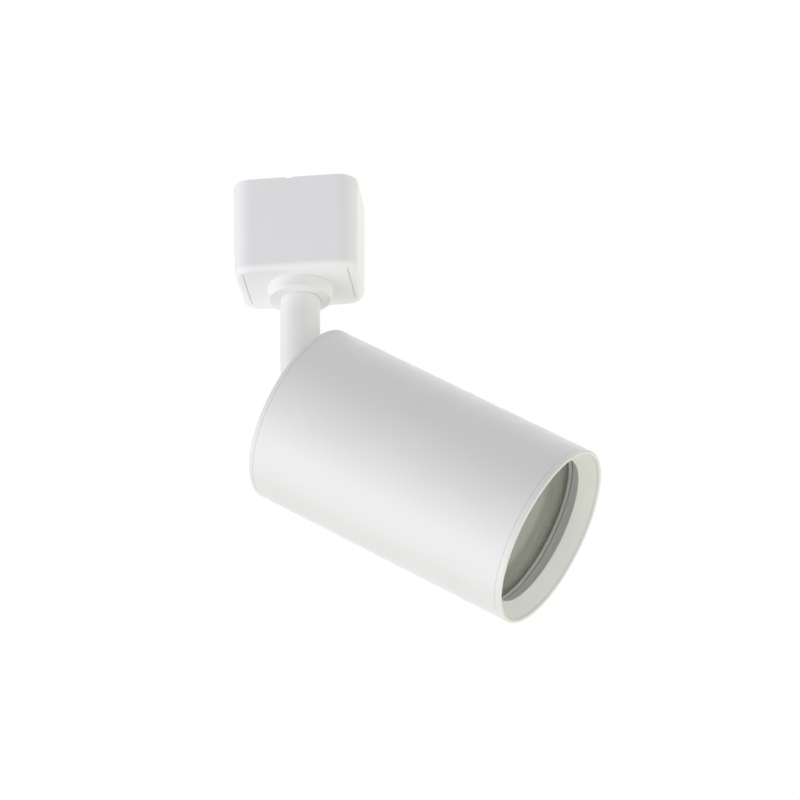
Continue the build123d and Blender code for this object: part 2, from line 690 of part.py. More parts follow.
YOKE_SCREW_HEAD = 1.6
with BuildPart() as yoke_screws:
    for across in (-YOKE_SCREW_PLACE, YOKE_SCREW_PLACE):
        with BuildSketch(head_plane(SLOT_FLOOR)):
            with Locations((across, 0)):
                Circle(YOKE_SCREW_RADIUS)
        extrude(amount=YOKE_BASE + POCKET_WALL)
        with BuildSketch(head_plane(POCKET_FLOOR + POCKET_WALL)):
            with Locations((across, 0)):
                Circle(2 * YOKE_SCREW_RADIUS)
        extrude(amount=YOKE_SCREW_HEAD)
yoke_screws.part.label = "yoke_screws"

MOUTH_RADIUS = 30.55
MOUTH_ROUND = 0.7
CONE_FRONT_DEPTH = 0.87
CONE_FRONT_RADIUS = 30.2
CONE_BACK_DEPTH = 5.6
CONE_BACK_RADIUS = 26.0
SKIRT_DEPTH = 9.5
SKIRT_BORE = 28.8
LIP_BACK = 6.3
with BuildPart() as front_bezel:
    revolve(
        turned(
            (HEAD_LENGTH, MOUTH_RADIUS),
            (HEAD_LENGTH, HEAD_RADIUS - EDGE_BREAK),
            (HEAD_LENGTH - EDGE_BREAK, HEAD_RADIUS),
            (HEAD_LENGTH - FRONT_RIM, HEAD_RADIUS),
            (HEAD_LENGTH - FRONT_RIM, BARREL_BORE - SPIGOT_FIT),
            (HEAD_LENGTH - SKIRT_DEPTH, BARREL_BORE - SPIGOT_FIT),
            (HEAD_LENGTH - SKIRT_DEPTH, SKIRT_BORE),
            (HEAD_LENGTH - LIP_BACK, SKIRT_BORE),
            (HEAD_LENGTH - LIP_BACK, CONE_BACK_RADIUS + 0.2),
            (HEAD_LENGTH - CONE_BACK_DEPTH, CONE_BACK_RADIUS),
            (HEAD_LENGTH - CONE_FRONT_DEPTH, CONE_FRONT_RADIUS),
        ),
        axis=HEAD_AXIS,
    )
    front_face = front_bezel.faces().sort_by(HEAD_AXIS)[-1]
    fillet(front_face.inner_wires()[0].edges(), MOUTH_ROUND)
front_bezel.part.label = "front_bezel"

# ---------------------------------------------------------------- tilt joint hardware
SCREW_HEAD_RADIUS = 3.5
SCREW_HEAD_HEIGHT = 2.4
EAR_OUTSIDE = SLOT_WIDTH / 2 + EAR_THICKNESS
PIVOT_NUT_FLATS = 7.0
PIVOT_NUT_THICKNESS = 3.0
with BuildPart() as pivot_screw:
    with BuildSketch(pivot_plane(-EAR_OUTSIDE)):
        Circle(PIVOT_SCREW)
    extrude(amount=2 * EAR_OUTSIDE + PIVOT_NUT_THICKNESS + 0.8)
    with BuildSketch(pivot_plane(-EAR_OUTSIDE)):
        Circle(SCREW_HEAD_RADIUS)
    extrude(amount=-SCREW_HEAD_HEIGHT)
    with BuildSketch(pivot_plane(-EAR_OUTSIDE - SCREW_HEAD_HEIGHT)):
        RegularPolygon(1.25, 6, major_radius=False)
    extrude(amount=1.4, mode=Mode.SUBTRACT)
pivot_screw.part.label = "pivot_screw"

with BuildPart() as pivot_nut:
    with BuildSketch(pivot_plane(EAR_OUTSIDE)):
        RegularPolygon(PIVOT_NUT_FLATS / 2, 6, major_radius=False)
        Circle(PIVOT_SCREW, mode=Mode.SUBTRACT)
    extrude(amount=PIVOT_NUT_THICKNESS)
pivot_nut.part.label = "pivot_nut"

TILT_WASHER_GAP = 0.1
with BuildPart() as tilt_friction_washers:
    washer = SLOT_WIDTH / 2 - KNUCKLE_FLAT - TILT_WASHER_GAP
    for offset in (KNUCKLE_FLAT + TILT_WASHER_GAP, -SLOT_WIDTH / 2):
        with BuildSketch(pivot_plane(offset)):
            Circle(EAR_RADIUS)
            Circle(PIVOT_SCREW + 0.15, mode=Mode.SUBTRACT)
        extrude(amount=washer)
tilt_friction_washers.part.label = "tilt_friction_washers"

# ---------------------------------------------------------------- optics
LENS_RADIUS = 29.3
GASKET = 1.0
LENS_THICKNESS = 3.0
LENS_BACK = LENS_SEAT + GASKET
LENS_FRONT = LENS_BACK + LENS_THICKNESS
RING_WIRE = 0.75
RING_RADIUS = 28.7

with BuildPart() as lens_gasket:
    with BuildSketch(head_plane(LENS_SEAT)):
        Circle(LENS_RADIUS)
        Circle(LENS_SEAT_RADIUS + 0.2, mode=Mode.SUBTRACT)
    extrude(amount=GASKET)
lens_gasket.part.label = "lens_gasket"

with BuildPart() as glass_lens:
    with BuildSketch(head_plane(LENS_BACK)):
        Circle(LENS_RADIUS)
    extrude(amount=LENS_THICKNESS)
    chamfer(glass_lens.edges().filter_by(GeomType.CIRCLE), 0.3)
glass_lens.part.label = "glass_lens"

with BuildPart() as lens_retaining_ring:
    with BuildSketch(HEAD_PROFILE):
        with Locations((LENS_FRONT + RING_WIRE + 0.02, RING_RADIUS)):
            Circle(RING_WIRE)
    revolve(axis=HEAD_AXIS)
lens_retaining_ring.part.label = "lens_retaining_ring"

REFLECTOR_BACK = 54.8
REFLECTOR_FRONT = LENS_SEAT - 0.4
REFLECTOR_THROAT = 9.0
REFLECTOR_MOUTH = 26.0
REFLECTOR_WALL = 0.8
with BuildPart() as reflector:
    with BuildSketch(HEAD_PROFILE):
        with BuildLine():
            middle = REFLECTOR_BACK + 0.38 * (REFLECTOR_FRONT - REFLECTOR_BACK)
            bulge = REFLECTOR_THROAT + 0.62 * (REFLECTOR_MOUTH - REFLECTOR_THROAT)
            ThreePointArc(
                (REFLECTOR_BACK, REFLECTOR_THROAT), (middle, bulge), (REFLECTOR_FRONT, REFLECTOR_MOUTH)
            )
            Line(
                (REFLECTOR_FRONT, REFLECTOR_MOUTH),
                (REFLECTOR_FRONT, REFLECTOR_MOUTH + REFLECTOR_WALL),
            )
            ThreePointArc(
                (REFLECTOR_FRONT, REFLECTOR_MOUTH + REFLECTOR_WALL),
                (middle, bulge + REFLECTOR_WALL),
                (REFLECTOR_BACK, REFLECTOR_THROAT + REFLECTOR_WALL),
            )
            Line(
                (REFLECTOR_BACK, REFLECTOR_THROAT + REFLECTOR_WALL),
                (REFLECTOR_BACK, REFLECTOR_THROAT),
            )
        make_face()
    revolve(axis=HEAD_AXIS)
reflector.part.label = "reflector"

# ---------------------------------------------------------------- light engine
SINK_FRONT = 49.4
SINK_BASE = 6.0
SINK_REAR = 31.0
SINK_RADIUS = BARREL_BORE - 0.1
SINK_CORE = 9.0
FIN_COUNT = 18
FIN_THICKNESS = 1.6
FIN_RADIUS = 27.5
BOSS_ROUND = 3.4
WIRE_WAY = 2.4
WIRE_WAY_PLACE = 16.0
WIRE_WAY_ANGLE = 10
wire_way = Vector(WIRE_WAY_PLACE, 0).rotate(Axis.Z, WIRE_WAY_ANGLE)
with BuildPart() as heat_sink:
    with BuildSketch(head_plane(SINK_FRONT - SINK_BASE)):
        Circle(SINK_RADIUS)
    extrude(amount=SINK_BASE)
    with BuildSketch(head_plane(SINK_REAR)):
        Circle(SINK_CORE)
        with PolarLocations(0, FIN_COUNT):
            with Locations((FIN_RADIUS / 2, 0)):
                Rectangle(FIN_RADIUS, FIN_THICKNESS)
        for angle in CAP_SCREW_ANGLES:
            with Locations(Vector(CAP_SCREW_PLACE, 0).rotate(Axis.Z, angle)):
                Circle(BOSS_ROUND)
    extrude(amount=SINK_FRONT - SINK_BASE - SINK_REAR)
    with BuildSketch(head_plane(SINK_REAR)):
        for angle in CAP_SCREW_ANGLES:
            with Locations(Vector(CAP_SCREW_PLACE, 0).rotate(Axis.Z, angle)):
                Circle(CAP_SCREW_RADIUS)
    extrude(amount=8.0, mode=Mode.SUBTRACT)
    with BuildSketch(head_plane(SINK_FRONT - SINK_BASE)):
        with Locations(wire_way):
            Circle(WIRE_WAY)
    extrude(amount=SINK_BASE, mode=Mode.SUBTRACT)
heat_sink.part.label = "heat_sink"

with BuildPart() as cap_screws:
    for angle in CAP_SCREW_ANGLES:
        place = Vector(CAP_SCREW_PLACE, 0).rotate(Axis.Z, angle)
        with BuildSketch(head_plane(0)):
            with Locations(place):
                Circle(CAP_SCREW_RADIUS)
        extrude(amount=SINK_REAR + 8.0)
        with BuildSketch(head_plane(0)):
            with Locations(place):
                Circle(2 * CAP_SCREW_RADIUS)
        extrude(amount=-1.6)
        with BuildSketch(head_plane(-1.6)):
            with Locations(place):
                Rectangle(3.2, 0.7)
                Rectangle(0.7, 3.2)
        extrude(amount=0.9, mode=Mode.SUBTRACT)
cap_screws.part.label = "cap_screws"

PAD_THICKNESS = 0.4
BOARD_SIZE = 19.0
BOARD_THICKNESS = 1.0
board_level = SINK_FRONT + PAD_THICKNESS
with BuildPart() as thermal_pad:
    with BuildSketch(head_plane(SINK_FRONT)):
        Rectangle(BOARD_SIZE, BOARD_SIZE)
    extrude(amount=PAD_THICKNESS)
thermal_pad.part.label = "thermal_pad"

with BuildPart() as led_board:
    with BuildSketch(head_plane(board_level)):
        RectangleRounded(BOARD_SIZE, BOARD_SIZE, 0.8)
    extrude(amount=BOARD_THICKNESS)
led_board.part.label = "led_board"

EMITTER_RADIUS = 7.0
EMITTER_THICKNESS = 0.7
with BuildPart() as led_emitter:
    with BuildSketch(head_plane(board_level + BOARD_THICKNESS)):
        Circle(EMITTER_RADIUS)
    extrude(amount=EMITTER_THICKNESS)
led_emitter.part.label = "led_emitter"

HOLDER_RADIUS = 21.0
HOLDER_FRONT = 54.6
HOLDER_SCREW_PLACE = 17.0
with BuildPart() as led_holder:
    with BuildSketch(head_plane(SINK_FRONT)):
        Circle(HOLDER_RADIUS)
    extrude(amount=HOLDER_FRONT - SINK_FRONT)
    with BuildSketch(head_plane(SINK_FRONT)):
        Rectangle(BOARD_SIZE + 0.6, BOARD_SIZE + 0.6)
    extrude(amount=PAD_THICKNESS + BOARD_THICKNESS + 0.1, mode=Mode.SUBTRACT)
    with BuildSketch(head_plane(SINK_FRONT)):
        Circle(8.2)
        with Locations((0, HOLDER_SCREW_PLACE), (0, -HOLDER_SCREW_PLACE)):
            Circle(1.6)
        with Locations(wire_way):
            Circle(WIRE_WAY)
    extrude(amount=HOLDER_FRONT - SINK_FRONT, mode=Mode.SUBTRACT)
    fillet(led_holder.faces().sort_by(HEAD_AXIS)[-1].outer_wire().edges(), 1.0)
led_holder.part.label = "led_holder"

with BuildPart() as holder_screws:
    for up in (-HOLDER_SCREW_PLACE, HOLDER_SCREW_PLACE):
        with BuildSketch(head_plane(HOLDER_FRONT)):
            with Locations((0, up)):
                Circle(2.6)
        extrude(amount=1.6)
        with BuildSketch(head_plane(SINK_FRONT)):
            with Locations((0, up)):
                Circle(1.4)
        extrude(amount=HOLDER_FRONT - SINK_FRONT)
        with BuildSketch(head_plane(HOLDER_FRONT + 1.6)):
            with Locations((0, up)):
                Rectangle(2.8, 0.6)
                Rectangle(0.6, 2.8)
        extrude(amount=-0.8, mode=Mode.SUBTRACT)
holder_screws.part.label = "holder_screws"

# ---------------------------------------------------------------- driver
CUP_REAR = 14.4
GROMMET_BORE = 2.3
CUP_FRONT = 30.0
CUP_RADIUS = 18.4
CUP_WALL = 1.2
with BuildPart() as driver_cup:
    with BuildSketch(head_plane(CUP_REAR)):
        Circle(CUP_RADIUS)
    extrude(amount=CUP_FRONT - CUP_REAR)
    with BuildSketch(head_plane(CUP_REAR)):
        Circle(CUP_RADIUS - CUP_WALL)
    extrude(amount=CUP_FRONT - CUP_REAR - CUP_WALL, mode=Mode.SUBTRACT)
    with BuildSketch(head_plane(CUP_FRONT)):
        with Locations(wire_way):
            Circle(LEAD_RADIUS * 2.6)
    extrude(amount=-CUP_WALL, mode=Mode.SUBTRACT)
driver_cup.part.label = "driver_cup"

COVER_THICKNESS = 1.2
with BuildPart() as driver_cover:
    with BuildSketch(head_plane(CUP_REAR - COVER_THICKNESS)):
        Circle(CUP_RADIUS)
        Circle(GROMMET_BORE, mode=Mode.SUBTRACT)
    extrude(amount=COVER_THICKNESS)
driver_cover.part.label = "driver_cover"

DRIVER_BOARD_REAR = 16.0
DRIVER_BOARD_THICKNESS = 1.6
driver_front = DRIVER_BOARD_REAR + DRIVER_BOARD_THICKNESS
with BuildPart() as driver_board:
    with BuildSketch(head_plane(DRIVER_BOARD_REAR)):
        Circle(CUP_RADIUS - CUP_WALL - 0.3)
    extrude(amount=DRIVER_BOARD_THICKNESS)
driver_board.part.label = "driver_board"

with BuildPart() as driver_transformer:
    with BuildSketch(head_plane(driver_front)):
        with Locations((-6, 5)):
            Rectangle(13, 11)
    extrude(amount=9)
    fillet(driver_transformer.edges().filter_by(Plane(origin=(0, 0, 0), z_dir=aim), reverse=True), 0.6)
driver_transformer.part.label = "driver_transformer"

with BuildPart() as driver_capacitors:
    for across, up, radius in ((-7, -8.5, 4.0), (3, -9.5, 3.2), (5.5, 8.5, 3.2)):
        with BuildSketch(head_plane(driver_front)):
            with Locations((across, up)):
                Circle(radius)
        extrude(amount=10)
driver_capacitors.part.label = "driver_capacitors"

grommet_end = POCKET_FLOOR + POCKET_WALL
with BuildPart() as wire_grommet:
    revolve(
        turned(
            (SLOT_FLOOR, GROMMET_BORE),
            (SLOT_FLOOR, LEAD_HOLE),
            (grommet_end, LEAD_HOLE),
            (grommet_end, LEAD_HOLE + 1.2),
            (grommet_end + 0.9, LEAD_HOLE + 1.2),
            (grommet_end + 0.9, GROMMET_BORE),
        ),
        axis=HEAD_AXIS,
    )
wire_grommet.part.label = "wire_grommet"

with BuildPart() as head_leads:
    for up in (-LEAD_PITCH, LEAD_PITCH):
        with BuildSketch(head_plane(SLOT_FLOOR + 0.2)):
            with Locations((0, up)):
                Circle(LEAD_RADIUS)
        extrude(amount=DRIVER_BOARD_REAR - SLOT_FLOOR - 0.2)
head_leads.part.label = "head_leads"

with BuildPart() as led_leads:
    for shift in (-0.7, 0.7):
        with BuildSketch(head_plane(driver_front)):
            with Locations(wire_way + Vector(0, shift)):
                Circle(LEAD_RADIUS)
        extrude(amount=SINK_FRONT + 3.0 - driver_front)
led_leads.part.label = "led_leads"

# ---------------------------------------------------------------- write one STEP file per piece
adapter_pieces = [
    adapter_shell,
    top_plate,
    top_plate_screws,
    bottom_plate,
    swivel_collar,
    collar_nut,
    swivel_friction_washer,
    swivel_stop_pin,
    earth_contact,
    terminal_block,
    brush_contacts,
    adapter_leads,
]
turret_pieces = [contact_turret, line_contact, neutral_contact, lock_lever, turret_retaining_clip]
stem_pieces = [
    stem_tube,
    stem_knuckle,
    stem_locknut,
    swivel_spring_washer,
    swivel_stop_tab,
    stem_wire_bush,
    stem_leads,
]
head_pieces = [
    barrel,
    rear_cap,
    tilt_yoke,
    yoke_screws,
    front_bezel,
    cap_screws,
    pivot_screw,
    pivot_nut,
    tilt_friction_washers,
    glass_lens,
    lens_gasket,
    lens_retaining_ring,
    reflector,
    heat_sink,
    thermal_pad,
    led_board,
    led_emitter,
    led_holder,
    holder_screws,
    led_leads,
    driver_cup,
    driver_cover,
    driver_board,
    driver_transformer,
    driver_capacitors,
    wire_grommet,
    head_leads,
]
for piece in adapter_pieces + turret_pieces + stem_pieces + head_pieces:
    export_step(piece.part, f"parts/{piece.part.label}.step")
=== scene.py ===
import json
import math
import bpy
from mathutils import Matrix, Vector

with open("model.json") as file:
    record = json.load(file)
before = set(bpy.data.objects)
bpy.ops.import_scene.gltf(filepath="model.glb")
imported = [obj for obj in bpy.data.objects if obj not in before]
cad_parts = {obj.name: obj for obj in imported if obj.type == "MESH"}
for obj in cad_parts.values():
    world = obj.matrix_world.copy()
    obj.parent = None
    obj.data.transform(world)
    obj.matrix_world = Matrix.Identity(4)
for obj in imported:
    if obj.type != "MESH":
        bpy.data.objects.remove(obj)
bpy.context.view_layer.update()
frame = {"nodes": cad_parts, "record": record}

# Track spotlight: looks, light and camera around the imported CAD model. All lengths are in metres.
nodes = frame["nodes"]

# ---------------------------------------------------------------- camera
# the photo's viewing angle, from fitting a pinhole camera to the object's outlines
# the lens is in millimetres
CAMERA_AZIMUTH = math.radians(5.493)
CAMERA_ELEVATION = math.radians(-24.513)
CAMERA_ROLL = math.radians(-1.163)
CAMERA_DISTANCE = 1.1442
CAMERA_LENS = 148.0
CAMERA_AIM = Vector((0.03359, 0.00923, -0.07659))


def add_camera():
    """Long lens from the front and below, turned a little about its own line of sight."""
    camera = bpy.data.objects.new("camera", bpy.data.cameras.new("camera"))
    bpy.context.scene.collection.objects.link(camera)
    back = Vector(
        (
            math.sin(CAMERA_AZIMUTH) * math.cos(CAMERA_ELEVATION),
            -math.cos(CAMERA_AZIMUTH) * math.cos(CAMERA_ELEVATION),
            math.sin(CAMERA_ELEVATION),
        )
    )
    level = Vector((math.cos(CAMERA_AZIMUTH), math.sin(CAMERA_AZIMUTH), 0))
    upright = back.cross(level)
    right = level * math.cos(CAMERA_ROLL) + upright * math.sin(CAMERA_ROLL)
    up = back.cross(right)
    turn = Matrix((right, up, back)).transposed()
    camera.matrix_world = Matrix.Translation(CAMERA_AIM + back * CAMERA_DISTANCE) @ turn.to_4x4()
    camera.data.lens = CAMERA_LENS
    camera.data.clip_start = 0.01
    camera.data.clip_end = 100
    bpy.context.scene.camera = camera


# ---------------------------------------------------------------- light and floor
# tints of the light, as parts of white
NEUTRAL = (1.0, 1.0, 1.0)
WARM = (1.0, 1.0, 0.8)
COOL = (0.97, 0.95, 1.05)
# heights in degrees
LOW = -45
LEVEL = 0
HIGH = 45
OVERHEAD = 90
# large soft panels: bearing in degrees (0 at the front, 90 at the right), height, strength and tint
PANELS = (
    # two strong ones from below, past opposite corners, so that the underside is bright but not flat
    (120, LOW, 2.0, WARM),
    (300, LOW, 2.4, NEUTRAL),
    # one at each side, the left one stronger, so that the stem turns from light to shade
    (90, LEVEL, 1.2, NEUTRAL),
    (270, LEVEL, 1.8, NEUTRAL),
    # the back, for the rims and the views from behind
    (180, LEVEL, 1.2, NEUTRAL),
    (180, HIGH, 1.4, NEUTRAL),
    # the front stays dimmer, so that the faces towards it keep some shade
    (0, LEVEL, 0.9, COOL),
    (45, LEVEL, 0.8, WARM),
    # the ceiling, which also lights the floor
    (0, OVERHEAD, 1.2, COOL),
)
# how fast a panel's light falls off away from its middle: half strength at 27 degrees
PANEL_FOCUS = 6.0
FLOOR_LEVEL = -1.25
FLOOR_REACH = 8.0


def heading(bearing, height):
    """Direction from a bearing and a height in degrees."""
    turn = math.radians(bearing)
    rise = math.radians(height)
    return Vector((math.sin(turn) * math.cos(rise), -math.cos(turn) * math.cos(rise), math.sin(rise)))


def scaled(colour, factor):
    """The colour made brighter or darker by this factor."""
    return tuple(channel * factor for channel in colour)


def add_sky():
    """White backdrop for the camera, and the large soft panels round the object for everything else."""
    world = bpy.data.worlds.new("studio")
    bpy.context.scene.world = world
    world.use_nodes = True
    tree = world.node_tree
    tree.nodes.clear()
    direction = tree.nodes.new("ShaderNodeTexCoord").outputs["Generated"]

    def vector_math(operation, first, second):
        step = tree.nodes.new("ShaderNodeVectorMath")
        step.operation = operation
        for socket, value in zip(step.inputs, (first, second)):
            if isinstance(value, bpy.types.NodeSocket):
                tree.links.new(value, socket)
            else:
                socket.default_value = value
        return step

    total = (0, 0, 0)
    for bearing, height, strength, tint in PANELS:
        facing = vector_math("DOT_PRODUCT", direction, heading(bearing, height))
        above = tree.nodes.new("ShaderNodeMath")
        above.operation = "MAXIMUM"
        above.inputs[1].default_value = 0.0
        tree.links.new(facing.outputs["Value"], above.inputs[0])
        power = tree.nodes.new("ShaderNodeMath")
        power.operation = "POWER"
        power.inputs[1].default_value = PANEL_FOCUS
        tree.links.new(above.outputs[0], power.inputs[0])
        light = vector_math("SCALE", scaled(tint, strength), (0, 0, 0))
        tree.links.new(power.outputs[0], light.inputs["Scale"])
        total = vector_math("ADD", total, light.outputs[0]).outputs[0]
    lighting = tree.nodes.new("ShaderNodeBackground")
    tree.links.new(total, lighting.inputs["Color"])
    backdrop = tree.nodes.new("ShaderNodeBackground")
    backdrop.inputs["Color"].default_value = (1, 1, 1, 1)
    seen = tree.nodes.new("ShaderNodeLightPath").outputs["Is Camera Ray"]
    mix = tree.nodes.new("ShaderNodeMixShader")
    tree.links.new(seen, mix.inputs[0])
    tree.links.new(lighting.outputs[0], mix.inputs[1])
    tree.links.new(backdrop.outputs[0], mix.inputs[2])
    output = tree.nodes.new("ShaderNodeOutputWorld")
    tree.links.new(mix.outputs[0], output.inputs["Surface"])
    bpy.context.scene.view_settings.view_transform = "Standard"


def add_floor():
    """Pale floor, far enough below for every view to clear it. The sky alone lights the object."""
    mesh = bpy.data.meshes.new("floor")
    signs = ((-1, -1), (1, -1), (1, 1), (-1, 1))
    corners = [(x * FLOOR_REACH, y * FLOOR_REACH, FLOOR_LEVEL) for x, y in signs]
    mesh.from_pydata(corners, [], [(0, 1, 2, 3)])
    floor = bpy.data.objects.new("floor", mesh)
    bpy.context.scene.collection.objects.link(floor)
    floor.visible_diffuse = False
    floor.visible_glossy = False
    floor.visible_transmission = False
    floor.visible_shadow = False
    finish = Finish("pale_floor")
    finish.colour(finish.noise(0.6, detail=3), (0.86, 0.86, 0.86), (0.9, 0.9, 0.9))
    finish.shader.inputs["Roughness"].default_value = 0.9
    mesh.materials.append(finish.material)


# ---------------------------------------------------------------- finishes
class Finish:
    """A material and short calls for the nodes that the finishes share. Sizes are in metres."""

    def __init__(self, name):
        self.material = bpy.data.materials.new(name)
        self.material.use_nodes = True
        self.tree = self.material.node_tree
        self.shader = self.tree.nodes["Principled BSDF"]
        self.place = self.node("TexCoord").outputs["Object"]
        self.normal = None

    def node(self, kind, **settings):
        made = self.tree.nodes.new("ShaderNode" + kind)
        for name, value in settings.items():
            setattr(made, name, value)
        return made

    def feed(self, socket, value):
        if isinstance(value, bpy.types.NodeSocket):
            self.tree.links.new(value, socket)
        else:
            socket.default_value = value

    def fixed(self, **values):
        """Values that are the same all over, set on the shader's own sockets."""
        for name, value in values.items():
            self.shader.inputs[name.replace("_", " ")].default_value = value

    def stretched(self, factors):
        """The surface's own coordinates, squeezed by these factors."""
        scale = self.node("Mapping", vector_type="POINT")
        self.feed(scale.inputs["Vector"], self.place)
        scale.inputs["Scale"].default_value = factors
        return scale.outputs[0]

    def noise(self, size, detail=2.0, rough=0.5, place=None):
        """Soft random pattern from 0 to 1, whose blotches are about this size."""
        pattern = self.node("TexNoise")
        self.feed(pattern.inputs["Vector"], place or self.place)
        pattern.inputs["Scale"].default_value = 1 / size
        pattern.inputs["Detail"].default_value = detail
        pattern.inputs["Roughness"].default_value = rough
        return pattern.outputs["Fac"]

    def cells(self, size, feature="F1"):
        """Random cells of about this size."""
        pattern = self.node("TexVoronoi", feature=feature)
        self.feed(pattern.inputs["Vector"], self.place)
        pattern.inputs["Scale"].default_value = 1 / size
        return pattern

    def ramp(self, value, start, end, low=0.0, high=1.0):
        """value from start to end becomes low to high, and stays there beyond."""
        spread = self.node("MapRange", interpolation_type="SMOOTHSTEP")
        self.feed(spread.inputs["Value"], value)
        for name, number in (("From Min", start), ("From Max", end), ("To Min", low), ("To Max", high)):
            spread.inputs[name].default_value = number
        return spread.outputs["Result"]

    def math(self, operation, first, second=0.0):
        step = self.node("Math", operation=operation)
        self.feed(step.inputs[0], first)
        self.feed(step.inputs[1], second)
        return step.outputs[0]

    def mix(self, factor, first, second):
        """Colour first where factor is 0, second where it is 1."""
        blend = self.node("Mix", data_type="RGBA")
        self.feed(blend.inputs["Factor"], factor)
        for socket, value in ((blend.inputs[6], first), (blend.inputs[7], second)):
            self.feed(socket, value if isinstance(value, bpy.types.NodeSocket) else (*value, 1))
        return blend.outputs[2]

    def colour(self, factor, first, second):
        """Base colour from first to second."""
        mixed = self.mix(factor, first, second)
        self.feed(self.shader.inputs["Base Color"], mixed)
        return mixed

    def rough(self, value, low, high):
        self.feed(self.shader.inputs["Roughness"], self.ramp(value, 0.3, 0.7, low, high))

    def bump(self, height, depth):
        """Relief of this depth, on top of any relief so far."""
        relief = self.node("Bump")
        relief.inputs["Strength"].default_value = 1.0
        relief.inputs["Distance"].default_value = depth
        self.feed(relief.inputs["Height"], height)
        if self.normal is not None:
            self.feed(relief.inputs["Normal"], self.normal)
        self.normal = relief.outputs["Normal"]
        self.feed(self.shader.inputs["Normal"], self.normal)

    def edges(self, radius):
        """1 along the piece's outer edges and 0 away from them."""
        rounded = self.node("Bevel", samples=4)
        rounded.inputs["Radius"].default_value = radius
        turn = self.node("VectorMath", operation="DOT_PRODUCT")
        self.feed(turn.inputs[0], rounded.outputs[0])
        self.feed(turn.inputs[1], self.node("NewGeometry").outputs["Normal"])
        return self.ramp(turn.outputs["Value"], 0.99, 0.85)


# the way the head points at rest, and the part of the reflector that darkens with painted shade, as depths
# along that way
HEAD_AIM = heading(83.5, -32.9)
PAINTED_SHADE_START_DEPTH = 0.13
PAINTED_SHADE_FULL_DEPTH = 0.112


def moulded_white():
    """Satin white ABS with the fine grain of a spark-eroded mould, a little glossier on handled edges."""
    finish = Finish("moulded_white")
    white = (0.9, 0.9, 0.925)
    flow = finish.noise(0.018, detail=3)
    finish.colour(finish.ramp(flow, 0.3, 0.7), scaled(white, 0.985), white)
    grain = finish.noise(0.0004, detail=2, rough=0.6)
    finish.bump(grain, 0.000012)
    finish.bump(finish.noise(0.004, detail=1), 0.00001)
    worn = finish.math("MULTIPLY", finish.edges(0.0007), -0.1)
    rough = finish.ramp(finish.noise(0.003, detail=4), 0.3, 0.7, 0.44, 0.54)
    finish.feed(finish.shader.inputs["Roughness"], finish.math("ADD", rough, worn))
    finish.fixed(IOR=1.46, Specular_IOR_Level=0.35)
    return finish.material


def powder_white(name, peel, shade=1.0):
    """White powder coat: orange peel of this size over the metal, slightly thinner on the edges."""
    finish = Finish(name)
    # a shade below 1 darkens the whole coat, as painted shade
    white = scaled((0.85, 0.86, 0.858), shade)
    film = finish.noise(0.02, detail=4)
    finish.colour(finish.ramp(film, 0.3, 0.7), scaled(white, 0.988), white)
    finish.bump(finish.noise(peel, detail=1), peel * 0.012)
    finish.bump(finish.noise(peel * 0.25, detail=2), peel * 0.005)
    worn = finish.math("MULTIPLY", finish.edges(0.0005), -0.08)
    rough = finish.ramp(finish.noise(0.006, detail=4), 0.3, 0.7, 0.38, 0.47)
    finish.feed(finish.shader.inputs["Roughness"], finish.math("ADD", rough, worn))
    finish.fixed(IOR=1.5)
    return finish.material


def moulded_dark():
    """Dark grey glass-filled nylon: matte, with pale scuffs on the edges."""
    finish = Finish("moulded_dark")
    grey = finish.mix(finish.noise(0.006, detail=4), (0.028, 0.029, 0.032), (0.042, 0.043, 0.047))
    patches = finish.ramp(finish.noise(0.001, detail=3), 0.45, 0.6)
    scuff = finish.math("MULTIPLY", finish.edges(0.0005), patches)
    finish.colour(finish.math("MULTIPLY", scuff, 0.6), grey, (0.13, 0.13, 0.135))
    finish.bump(finish.noise(0.0003, detail=3, rough=0.6), 0.000015)
    finish.rough(finish.noise(0.004, detail=3), 0.48, 0.62)
    return finish.material


def zinc_plate():
    """Bright zinc plate: a bluish metal with faint spangle and duller patches."""
    finish = Finish("zinc_plate")
    spangle = finish.cells(0.0006).outputs["Color"]
    tone = finish.mix(finish.noise(0.002, detail=4), (0.52, 0.54, 0.57), (0.68, 0.69, 0.71))
    finish.feed(finish.shader.inputs["Base Color"], finish.mix(0.06, tone, spangle))
    finish.rough(finish.noise(0.0015, detail=4), 0.24, 0.4)
    finish.bump(finish.noise(0.0002, detail=3), 0.000006)
    finish.fixed(Metallic=1.0)
    return finish.material


def drawn_steel():
    """Nickel-plated steel: satin pale grey with fine draw marks."""
    finish = Finish("drawn_steel")
    marks = finish.noise(0.0004, detail=4, place=finish.stretched((1, 1, 6)))
    finish.colour(marks, (0.72, 0.72, 0.69), (0.80, 0.80, 0.77))
    finish.rough(marks, 0.42, 0.55)
    finish.bump(marks, 0.000004)
    finish.fixed(Metallic=0.3)
    return finish.material


def rolled_brass():
    """Rolled brass strip: warm metal, streaked along the rolling and tarnished in patches."""
    finish = Finish("rolled_brass")
    streaks = finish.noise(0.0005, detail=4, place=finish.stretched((0.15, 1, 1)))
    bright = finish.mix(streaks, (0.74, 0.50, 0.22), (0.84, 0.62, 0.32))
    tarnish = finish.ramp(finish.noise(0.003, detail=4), 0.55, 0.75, 0.0, 0.6)
    finish.colour(tarnish, bright, (0.42, 0.26, 0.12))
    finish.rough(streaks, 0.2, 0.36)
    finish.bump(streaks, 0.000005)
    finish.fixed(Metallic=1.0)
    return finish.material


def natural_nylon():
    """Natural nylon: creamy and slightly translucent."""
    finish = Finish("natural_nylon")
    finish.colour(finish.noise(0.003, detail=3), (0.72, 0.69, 0.60), (0.80, 0.78, 0.70))
    finish.rough(finish.noise(0.001, detail=3), 0.4, 0.55)
    finish.bump(finish.noise(0.0004, detail=2), 0.00001)
    finish.fixed(Subsurface_Weight=0.2, Subsurface_Radius=(0.001, 0.0009, 0.0006))
    return finish.material


